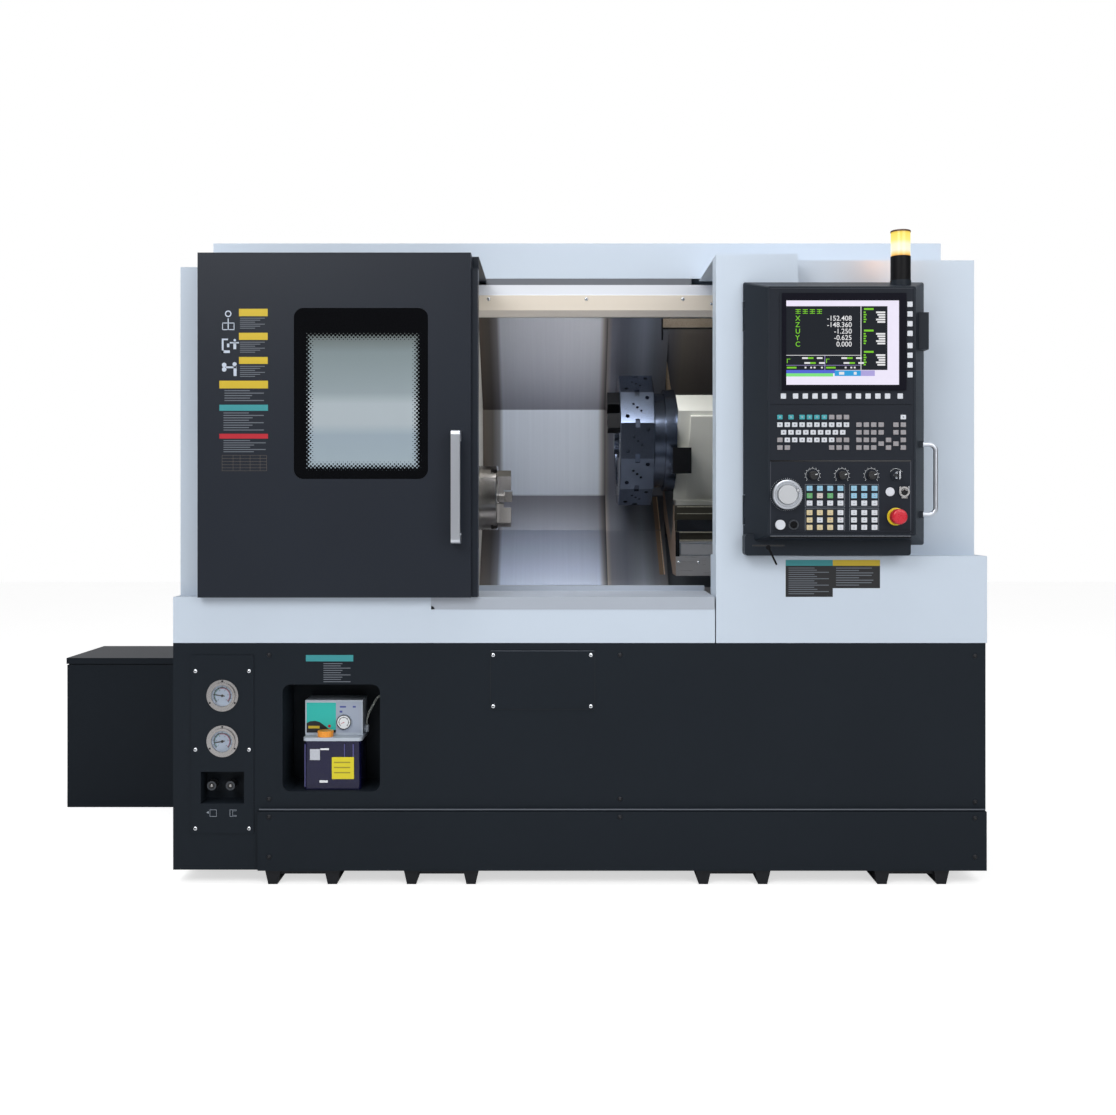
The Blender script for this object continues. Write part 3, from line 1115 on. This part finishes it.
# Buttons under the keys, each with a small lamp and a mark
B, N = "light_blue_plastic", "green_plastic"
P, Y = "pink_plastic", "beige_plastic"
BUTTON_ROWS = (
    (B, B, B, B, B, B, B), (N, P, N, W, B, B, B), (W, W, W, W, W, W, W),
    (Y, Y, Y, W, W, W, W), (Y, W, Y, W, W, W, W), (Y, Y, Y, W, W, W, W),
)
BUTTON_X = (0.916, 0.9431, 0.9702, 0.9973, 1.0328, 1.0599, 1.0870)
BUTTON_Z = (1.0774, 1.05795, 1.0385, 1.0135, 0.99405, 0.9746)
BUTTON_W, BUTTON_TALL = 0.015, 0.0134
LAMP_X, LAMP_Z, LAMP_R = 1.1281, 1.0682, 0.0118
buttons = Piece("button_caps", "pendant", "button_plastic")
mark_y = FACE_Y - KEY_H - 0.5 * PRINT
for z, row_looks in zip(BUTTON_Z, BUTTON_ROWS):
    for x, look in zip(BUTTON_X, row_looks):
        cap(buttons, x, z, BUTTON_W, BUTTON_TALL, look)
        lamp_look = "print_red" if (x + z) * 1000 % 3 > 2.2 else "print_grey"
        buttons.disc(x, z + 0.0036, 0.0011, mark_y, lamp_look, 10)
        buttons.rect(x - 0.0028, x + 0.0028, z - 0.0024, z - 0.0008, mark_y, "key_mark")
buttons.raised(circle(LAMP_X, LAMP_Z, LAMP_R), FACE_Y, FACE_Y - KEY_H, W, bevel=0.001)
buttons.done("panel_buttons")

# Prints on the control panel: outlines of the button groups, scales of the knobs and the wheel
KNOBS_X = (0.9244, 1.0015, 1.0789)
KNOB_Z = 1.1116
KEY_SWITCH_X = 1.1444
WHEEL_X, WHEEL_Z, WHEEL_SCALE = 0.8555, 1.0610, 0.0425
DOTS_R, DOT_R = 0.0205, 0.0009
GROUPS_X = ((0.9045, 1.0090), (1.0215, 1.0985))
GROUPS_Z = ((1.0280, 1.0880), (0.9635, 1.0240))
GROUP_LINE = 0.0006
print_y = FACE_Y - PRINT
panel_print = Piece("panel_print", "pendant", "white_key")
for group_x in GROUPS_X:
    for group_z in GROUPS_Z:
        panel_print.outline(*group_x, *group_z, GROUP_LINE, print_y, "print_grey")
for x in KNOBS_X:
    panel_print.ring(x, KNOB_Z, *SCALE_RING, print_y, "print_white", -40, 220, 24)
    for n in range(11):
        dot = around(x, KNOB_Z, DOTS_R, -40 + 26 * n)
        panel_print.disc(*dot, DOT_R, print_y, "print_white", 8)
panel_print.ring(KEY_SWITCH_X, KNOB_Z, *SCALE_RING, print_y, "print_white", 30, 150, 12)
for n in range(50):
    x, z = around(WHEEL_X, WHEEL_Z, WHEEL_SCALE, 7.2 * n)
    panel_print.rect(x - 0.0003, x + 0.0003, z - 0.0007, z + 0.0007, print_y, "print_white")
panel_print.done()

# Yellow ring under the emergency stop
STOP_X, STOP_Z, STOP_LIFT = 1.1425, 1.0030, 0.0036
stop_ring = Piece("stop_ring", "pendant", "button_plastic")
stop_ring.ring(STOP_X, STOP_Z, *STOP_RING, FACE_Y - STOP_LIFT, "yellow_plastic", steps=48)
stop_ring.done()

# The frame lines round the operator panel, the screen's bezel and the socket
FRAME_PX = (770.2, 911.0, 461.6, 535.6)
BEZEL_PX = (781.7, 906.0, 293.2, 390.4)
TOP_LINE_PX = (770.9, 917.8, 287.6, 288.6)
BEZEL_LIFT = 0.0045
SOCKET_X, SOCKET_Z = 0.8740, 0.9816
SOCKET_Y = FACE_Y - 0.0042
frame_lines = Piece("panel_frame", "pendant", "pendant_paint")
x0, x1, z0, z1 = photo_box(FRAME_PX, FACE_Y)
for bar, look in (
    ((x0, x1, z1, z1 + 0.0036), "black_gloss"), ((x0, x0 + 0.0016, z0, z1), "frame_dim"),
    ((x1 - 0.0016, x1, z0, z1), "frame_dim"), ((x0, x1, z0 - 0.0024, z0), "frame_silver"),
    ((x0, x1, z0 - 0.0058, z0 - 0.0024), "black_gloss"),
):
    frame_lines.rect(*bar, FACE_Y - PRINT, look)
x0, x1, z0, z1 = photo_box(BEZEL_PX, FACE_Y)
for bar in (
    (x0, x1, screen_high.z, z1), (x0, x1, z0, screen_low.z),
    (x0, screen_low.x, screen_low.z, screen_high.z),
    (screen_high.x, x1, screen_low.z, screen_high.z),
):
    frame_lines.rect(*bar, FACE_Y - BEZEL_LIFT, "bezel_navy")
frame_lines.field(TOP_LINE_PX, FACE_Y, "frame_dim")
frame_lines.ring(SOCKET_X, SOCKET_Z, *SOCKET_RING, SOCKET_Y, "knob_ring")
frame_lines.disc(SOCKET_X, SOCKET_Z, SOCKET_RING[0], SOCKET_Y, "black_gloss")
frame_lines.done()

# The lock with its ring and the two keys that hang from it
LOCK_X, LOCK_Z = 1.1652, 1.0682
lock_y = FACE_Y - 0.0042
lock = Piece("panel_lock", "pendant", "stainless")
lock.ring(LOCK_X, LOCK_Z, *LOCK_RING, lock_y - PRINT, "bezel_steel")
lock.disc(LOCK_X, LOCK_Z, LOCK_RING[0], lock_y - PRINT, "black_gloss")
lock.ring(LOCK_X, LOCK_Z + 0.001, *KEY_LOOP, lock_y - 2 * PRINT, "bezel_steel", 20, 160, 16)
for left, right, low, high, layer, look in (
    (-0.0135, -0.0095, -0.004, 0.014, 3, "bezel_steel"),
    (0.0098, 0.0130, 0.004, 0.015, 3, "polished_steel"),
    (-0.008, 0.008, -0.0172, -0.0142, 1, "bezel_steel"),
):
    lock.rect(
        LOCK_X + left, LOCK_X + right, LOCK_Z + low, LOCK_Z + high, lock_y - layer * PRINT,
        look, 0.001,
    )
lock.done()

# The hand wheel's face: a silver disc, two lines and a dimple
wheel_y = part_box("handwheel")[0].y - 0.5 * PRINT
dimple = (WHEEL_X + 0.0265, WHEEL_Z + 0.0110)
wheel_face = Piece("wheel_face", "jog_wheel", "bright_grip")
wheel_face.disc(WHEEL_X, WHEEL_Z, WHEEL_RING[0], wheel_y, "wheel_silver", 48)
for band in (WHEEL_RING, WHEEL_LINE):
    wheel_face.ring(WHEEL_X, WHEEL_Z, *band, wheel_y, "frame_silver", steps=48)
wheel_face.ring(*dimple, *DIMPLE_RING, wheel_y - 0.5 * PRINT, "frame_silver", steps=20)
wheel_face.disc(*dimple, DIMPLE_RING[0], wheel_y - 0.5 * PRINT, "wheel_silver", 20)
wheel_face.done()

# The strap that holds the wiring under the panel, with its loose end
STRAP_PX = (752.5, 784.5, 544.8, 546.4)
STRAP_KNOT_PX = (768.2, 547.4)
STRAP_TIP_PX = (776.6, 564.8)
STRAP_Y = FACE_Y - 0.0012
strap = Piece("cable_strap", "pendant", "black_plastic")
x0, x1, z0, z1 = photo_box(STRAP_PX, FACE_Y)
strap.box((x0, STRAP_Y, z0), (x1, FACE_Y + 0.001, z1), "black_plastic")
knot_x, knot_z = at(*STRAP_KNOT_PX, FACE_Y)
tip_x, tip_z = at(*STRAP_TIP_PX, FACE_Y)
strap.disc(knot_x, knot_z, 0.0062, STRAP_Y - PRINT, "black_gloss", 20)
loose_end = [
    (knot_x - 0.003, knot_z), (knot_x + 0.003, knot_z + 0.001), (tip_x + 0.0022, tip_z + 0.001),
    (tip_x - 0.0022, tip_z - 0.001),
]
strap.flat(loose_end, STRAP_Y - 2 * PRINT, "black_gloss")
strap.done()

# White pointers on the three override knobs
POINTER_ANGLE = 20
for number, (which, x) in enumerate(zip(("first", "second", "third"), KNOBS_X), start=1):
    pointer_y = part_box(f"override_knob_{number}")[0].y - 0.5 * PRINT
    pointer = Piece(f"knob_pointer_{number}", which + "_override", "white_key")
    pointer.tick(x, KNOB_Z, POINTER_ANGLE, *POINTER, pointer_y, "print_white")
    pointer.done()

# Inside: screws on the beam, the dull strip over it and the plate at its right end
BEAM_Y = -0.3365 - 0.004
BEAM_SCREWS_X, BEAM_SCREWS_Z = (0.043, 0.340, 0.634), 1.658
SLOT = (0.036, 0.660, 1.7018, 1.7207)
SLOT_Y = -0.3357
BEAM_PLATE_PX = (706.5, 714.5, 298.5, 307.5)
BEAM_PLATE_SCREW_PX = (711.2, 304.0)
beam_screws = Piece("beam_screws", "machine", "black_steel")
for x in BEAM_SCREWS_X:
    beam_screws.screw(x, BEAM_SCREWS_Z, *BEAM_SCREW, BEAM_Y, "ground_steel")
beam_screws.done()

trim = Piece("inner_trim", "machine", "stainless")
trim.rect(*SLOT, SLOT_Y, "slot_grey")
trim.field(BEAM_PLATE_PX, BEAM_Y, "beam_cream", 0.002, 6)
plate_screw = at(*BEAM_PLATE_SCREW_PX, BEAM_Y)
trim.dome(*plate_screw, *BEAM_END_SCREW, BEAM_Y - 7 * PRINT, "ground_steel")
trim.done()

# On the saddle: the frame and screws of the lower cover, and lines along its steps
PLATE_Y, SHEET_Y = 0.006, 0.002
COVER_PLATE_PX = (679.6, 713.5, 542.8, 555.4)
COVER_SCREWS_AT = ((678.7, 562.2), (698.5, 562.2))
STEP_LINES_PY = (
    (506.0, 507.2, "edge_glint"), (513.2, 514.0, "edge_glint"), (519.8, 531.6, "black_gloss"),
    (531.6, 532.8, "edge_glint"), (539.6, 541.2, "edge_glint"),
)
STEP_LEFT_PX, STEP_END = 677.0, 0.995
COVER_SHADE_PX = (675.5, 679.4, 532.0, 556.4)
cover_trim = Piece("slide_cover_trim", "saddle", "stainless")
x0, x1, z0, z1 = photo_box(COVER_PLATE_PX, PLATE_Y)
for bar in ((x0, x1, z1 - 0.0020, z1), (x0, x1, z0, z0 + 0.0020), (x0, x0 + 0.0030, z0, z1)):
    cover_trim.rect(*bar, PLATE_Y - 0.0012, "polished_steel")
for place in COVER_SCREWS_AT:
    cover_trim.dome(*at(*place, SHEET_Y), *SHEET_SCREW, SHEET_Y, "polished_steel")
for top, bottom, look in STEP_LINES_PY:
    x0, _, z0, z1 = photo_box((STEP_LEFT_PX, STEP_LEFT_PX, top, bottom), SHEET_Y)
    cover_trim.rect(x0, STEP_END, z0, z1, SHEET_Y - 0.0004, look)
cover_trim.field(COVER_SHADE_PX, SHEET_Y, "black_gloss", layer=4)

# The sheets behind the work space as (z, y) profiles, and what is drawn on them in photo pixels
LINER_PROFILE = (
    (1.689, 0.2185), (1.381, 0.4855), (1.066, 0.5105), (0.938, 0.4365), (0.747, 0.2735),
)
PANEL_PROFILE = ((1.655, 0.250), (1.420, 0.505))
SHEET_LIFT = 0.003
PANEL_DRAWN_PX = (
    (((663.0, 318.6), (713.0, 318.6), (713.0, 327.6), (663.0, 327.6)), "header_brown"),
    (((663.0, 327.6), (713.0, 327.6), (713.0, 329.4), (663.0, 329.4)), "black_gloss"),
    (((661.4, 318.6), (662.8, 318.6), (662.8, 392.0), (661.4, 392.0)), "black_gloss"),
    (((665.4, 357.4), (666.6, 360.0), (670.8, 389.6), (665.8, 390.0)), "copper_glint"),
)
# Each bronze strip: its left edge at the top, at the bend and at the foot, its width, its look
STRIPS_PX = ((652.0, 655.2, 659.6, 4.0, "strip_brown"), (656.0, 659.4, 664.0, 1.0, "copper_glint"))
STRIP_TOP_PY, STRIP_BEND_PY, STRIP_LOW_PY = 496.8, (529.8, 530.2), 574.5


def on_sheet(px, py, profile):
    """Where the sight line of a photo pixel meets a sheet whose profile is given as (z, y)."""
    y = profile[0][1]
    for _ in range(40):
        x, z = at(px, py, y)
        for (z_top, y_top), (z_low, y_low) in zip(profile, profile[1:]):
            if z >= z_low or (z_low, y_low) == profile[-1]:
                y = y_top + (y_low - y_top) * (z_top - z) / (z_top - z_low)
                break
    return x, y - SHEET_LIFT, z


for corners, look in PANEL_DRAWN_PX:
    cover_trim.face([on_sheet(px, py, PANEL_PROFILE) for px, py in reversed(corners)], look)
for high_left, bend_left, low_left, wide, look in STRIPS_PX:
    for top_left, top_py, foot_left, foot_py in (
        (high_left, STRIP_TOP_PY, bend_left, STRIP_BEND_PY[0]),
        (bend_left, STRIP_BEND_PY[1], low_left, STRIP_LOW_PY),
    ):
        corners = (
            (top_left, top_py), (top_left + wide, top_py), (foot_left + wide, foot_py),
            (foot_left, foot_py),
        )
        cover_trim.face([on_sheet(px, py, LINER_PROFILE) for px, py in reversed(corners)], look)
cover_trim.done()

# Camera
FRAME_W, FRAME_H = 1116, 1115
SENSOR = 36.0
camera_data = bpy.data.cameras.new("photo_camera")
camera_data.sensor_fit = "HORIZONTAL"
camera_data.sensor_width = SENSOR
camera_data.lens = SENSOR * EYE_DISTANCE / PIXEL / FRAME_W
camera_data.shift_y = (HORIZON_PY - FRAME_H / 2) / FRAME_W
camera_data.clip_end = 60
camera = bpy.data.objects.new("photo_camera", camera_data)
camera.location = (EYE_X, FRONT_Y - EYE_DISTANCE, EYE_Z)
camera.rotation_euler = (math.radians(90), 0, 0)
bpy.context.scene.collection.objects.link(camera)
bpy.context.scene.camera = camera

# Floor, lifted in brightness only where the camera looks at it
FLOOR = 12.0
FLOOR_LIFT = 0.62
floor_mesh = bpy.data.meshes.new("floor")
floor_corners = [(-FLOOR, -FLOOR, 0), (FLOOR, -FLOOR, 0), (FLOOR, FLOOR, 0), (-FLOOR, FLOOR, 0)]
floor_mesh.from_pydata(floor_corners, [], [(0, 1, 2, 3)])
floor = bpy.data.objects.new("floor", floor_mesh)
bpy.context.scene.collection.objects.link(floor)
tree, principled = new_material("floor_look")
tone = two_tone(tree, noise(tree, 1.5), (0.88, 0.88, 0.88, 1), (0.9, 0.9, 0.9, 1))
tree.links.new(tone, principled.inputs["Base Color"])
set_inputs(principled, {
    "Roughness": 0.7, "Specular IOR Level": 0.1, "Emission Color": (1, 1, 1, 1),
})
floor_rays = tree.nodes.new("ShaderNodeLightPath")
lift = tree.nodes.new("ShaderNodeMath")
lift.operation = "MULTIPLY"
lift.inputs[1].default_value = FLOOR_LIFT
tree.links.new(floor_rays.outputs["Is Camera Ray"], lift.inputs[0])
tree.links.new(lift.outputs["Value"], principled.inputs["Emission Strength"])
floor_mesh.materials.append(LOOKS["floor_look"])

# World: what the metal mirrors is a dim hall in front, brightening towards the ceiling
WORLD_LIGHT = 0.36
MIRRORED_WORLD = 0.95
DIM_HALL = 0.05
HALL_ELEVATION, CEILING_ELEVATION = 0.18, 0.62
world = bpy.data.worlds.new("studio")
bpy.context.scene.world = world
world.use_nodes = True
tree = world.node_tree
background = tree.nodes["Background"]
background.inputs["Color"].default_value = (1, 1, 1, 1)
rays = tree.nodes.new("ShaderNodeLightPath")
seen = tree.nodes.new("ShaderNodeMath")
seen.operation = "MAXIMUM"
tree.links.new(rays.outputs["Is Camera Ray"], seen.inputs[0])
tree.links.new(rays.outputs["Is Transmission Ray"], seen.inputs[1])
sky_place = tree.nodes.new("ShaderNodeTexCoord")
sky_split = tree.nodes.new("ShaderNodeSeparateXYZ")
tree.links.new(sky_place.outputs["Generated"], sky_split.inputs["Vector"])
mirrored = spread(
    tree, sky_split.outputs["Z"], DIM_HALL, MIRRORED_WORLD, HALL_ELEVATION, CEILING_ELEVATION
)
plain = spread(tree, seen.outputs["Value"], WORLD_LIGHT, 1.0, 0.0, 1.0)
level = tree.nodes.new("ShaderNodeMix")
level.data_type = "FLOAT"
tree.links.new(rays.outputs["Is Glossy Ray"], level.inputs["Factor"])
tree.links.new(plain, level.inputs["A"])
tree.links.new(mirrored, level.inputs["B"])
tree.links.new(level.outputs["Result"], background.inputs["Strength"])


def softbox(name, place, aim, size, power, colour=(1, 1, 1)):
    lamp_data = bpy.data.lights.new(name, "AREA")
    lamp_data.shape = "RECTANGLE"
    lamp_data.size, lamp_data.size_y = size
    lamp_data.energy = power
    lamp_data.color = colour
    lamp = bpy.data.objects.new(name, lamp_data)
    lamp.location = place
    direction = Vector(aim) - Vector(place)
    lamp.rotation_euler = direction.to_track_quat("-Z", "Y").to_euler()
    bpy.context.scene.collection.objects.link(lamp)


COOL_LIGHT = (0.97, 0.98, 1.0)
LAMP_LIGHT = (1.0, 0.42, 0.16)
softbox("key_light", (-1.8, -4.6, 3.6), (0, -0.3, 0.9), (2.6, 2.2), 92)
softbox("fill_light", (2.6, -4.2, 2.4), (0.2, -0.3, 0.9), (2.4, 2.4), 52)
softbox("work_light", (0.33, -0.235, 1.655), (0.36, 0.25, 1.1), (0.56, 0.05), 3.4, COOL_LIGHT)
softbox(
    "lamp_glow", (1.155, -0.745, 1.724), (1.135, -0.6515, 1.700), (0.03, 0.03), 0.05, LAMP_LIGHT
)
softbox("top_light", (0.2, -0.6, 4.2), (0.2, 0, 0), (3.2, 2.4), 76)

bpy.context.scene.view_settings.view_transform = "Standard"
